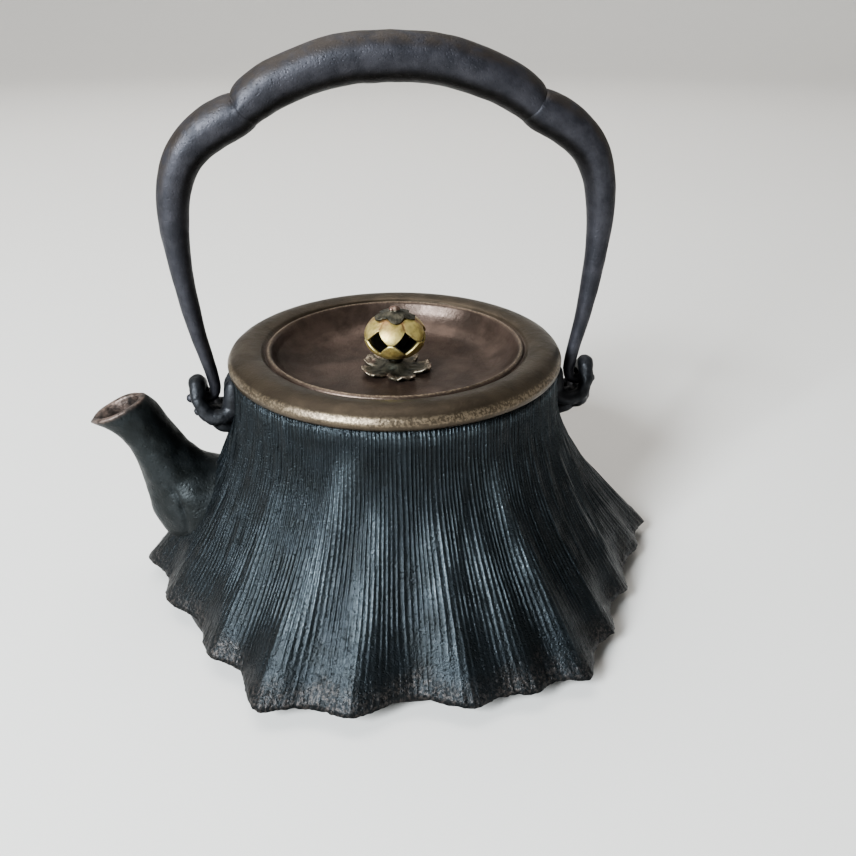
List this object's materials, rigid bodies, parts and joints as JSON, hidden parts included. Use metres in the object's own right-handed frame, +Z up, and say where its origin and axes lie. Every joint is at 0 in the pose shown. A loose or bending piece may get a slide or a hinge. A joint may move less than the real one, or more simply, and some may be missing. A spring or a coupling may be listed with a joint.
{
  "type": "cast iron kettle",
  "caption": "Cast iron tea kettle with a pleated, skirt-like body, short beak spout, tall bail handle hooked into side lugs, and a dished bronze lid with an openwork brass bud knob.",
  "frame": {"origin": "centre of the round base, on the plane it rests on", "axes": "+Z up through the knob, -X towards the spout; the upright handle lies in the XZ plane"},
  "size_m": [0.1951, 0.1816, 0.177],
  "materials": {
    "cast_body": "combed cast surface, blue-black, satin on the ridges",
    "cast_base": "plain dark casting, matt",
    "cast_spout": "smooth-skinned casting, rust brown at the rim",
    "cast_lugs": "knotty casting, worn satin",
    "forged_handle": "hammered and pitted, satin, brown on top",
    "lid_bronze": "brown patina, worn coppery on the lip",
    "leaf_bronze": "dark green-brown patina with pale worn edges",
    "knob_brass": "aged yellow brass, satin",
    "washer_iron": "dull iron"
  },
  "bodies": {
    "kettle": {"body_shell": "cast_body", "base_pan": "cast_base", "spout": "cast_spout", "lug_left": "cast_lugs", "lug_right": "cast_lugs"},
    "handle": {"handle_grip": "forged_handle", "handle_end_left": "forged_handle", "handle_end_right": "forged_handle"},
    "lid": {"lid": "lid_bronze"},
    "knob": {"knob_seat": "leaf_bronze", "knob_petals_lower": "knob_brass", "knob_petals_upper": "knob_brass", "knob_cap": "leaf_bronze", "knob_stem": "knob_brass", "knob_washer": "washer_iron"}
  },
  "joints": [
    {"name": "handle_swing", "type": "hinge", "parent": "kettle", "child": "handle", "pos_m": [0, 0, 0.066], "axis": [1, 0, 0], "range_deg": [-75, 75]},
    {"name": "lid_lift", "type": "slide", "parent": "kettle", "child": "lid", "axis": [0, 0, 1], "range_m": [0, 0.05]},
    {"name": "knob_turn", "type": "hinge", "parent": "lid", "child": "knob", "pos_m": [0, 0, 0.0728], "axis": [0, 0, 1], "continuous": true}
  ]
}
